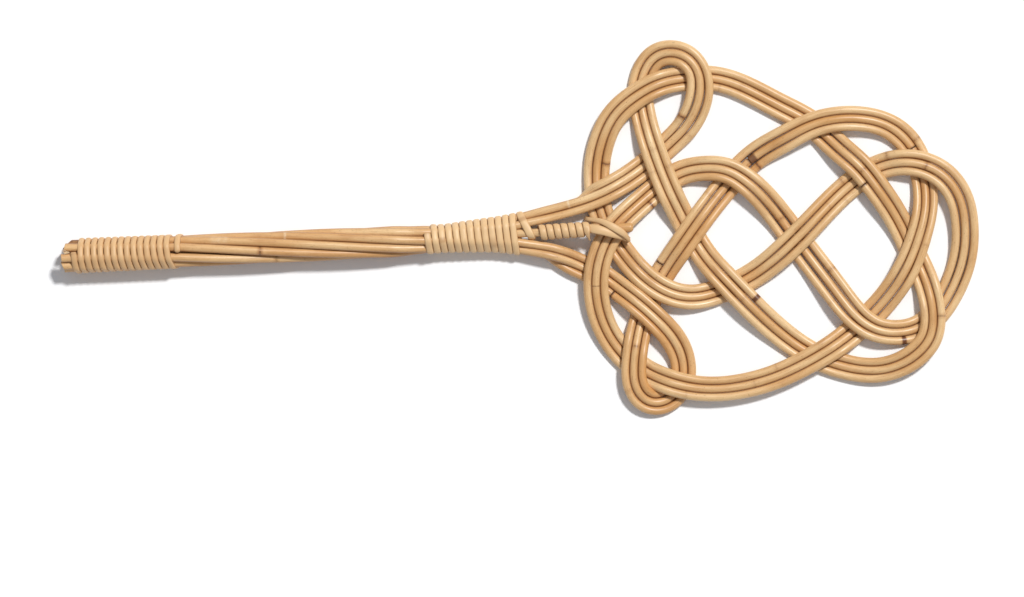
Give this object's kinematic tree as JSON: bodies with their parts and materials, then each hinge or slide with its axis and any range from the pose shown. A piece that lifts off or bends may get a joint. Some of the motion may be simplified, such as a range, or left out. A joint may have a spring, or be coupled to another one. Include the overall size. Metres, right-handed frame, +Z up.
{
  "type": "carpet beater",
  "caption": "Rattan carpet beater: parallel canes woven into a flat pretzel-shaped head and bound into a straight handle with split-cane bindings.",
  "frame": {"origin": "bottom centre of the bounding box, with the beater lying on its back", "axes": "+X from the handle's butt towards the head's tip, +Y across the head, +Z up through the flat head"},
  "size_m": [0.7519, 0.307, 0.0308],
  "materials": {
    "natural_cane": "honey-tan rattan cane, satin",
    "skin_cane": "orange-brown rattan cane with its skin left on, satin",
    "split_strand": "pale split-cane strand, satin"
  },
  "bodies": {
    "root": {"centre_cane_1": "natural_cane", "centre_cane_2": "natural_cane", "centre_cane_3": "natural_cane", "centre_cane_4": "natural_cane", "left_cane_1": "natural_cane", "left_cane_2": "natural_cane", "left_cane_3": "skin_cane", "right_cane_1": "natural_cane", "right_cane_2": "skin_cane", "core_cane": "natural_cane", "filler_a": "natural_cane", "filler_b": "natural_cane", "grip_binding": "split_strand", "collar_binding": "split_strand", "spoke_binding": "split_strand", "tie_lashing": "split_strand"}
  },
  "joints": []
}
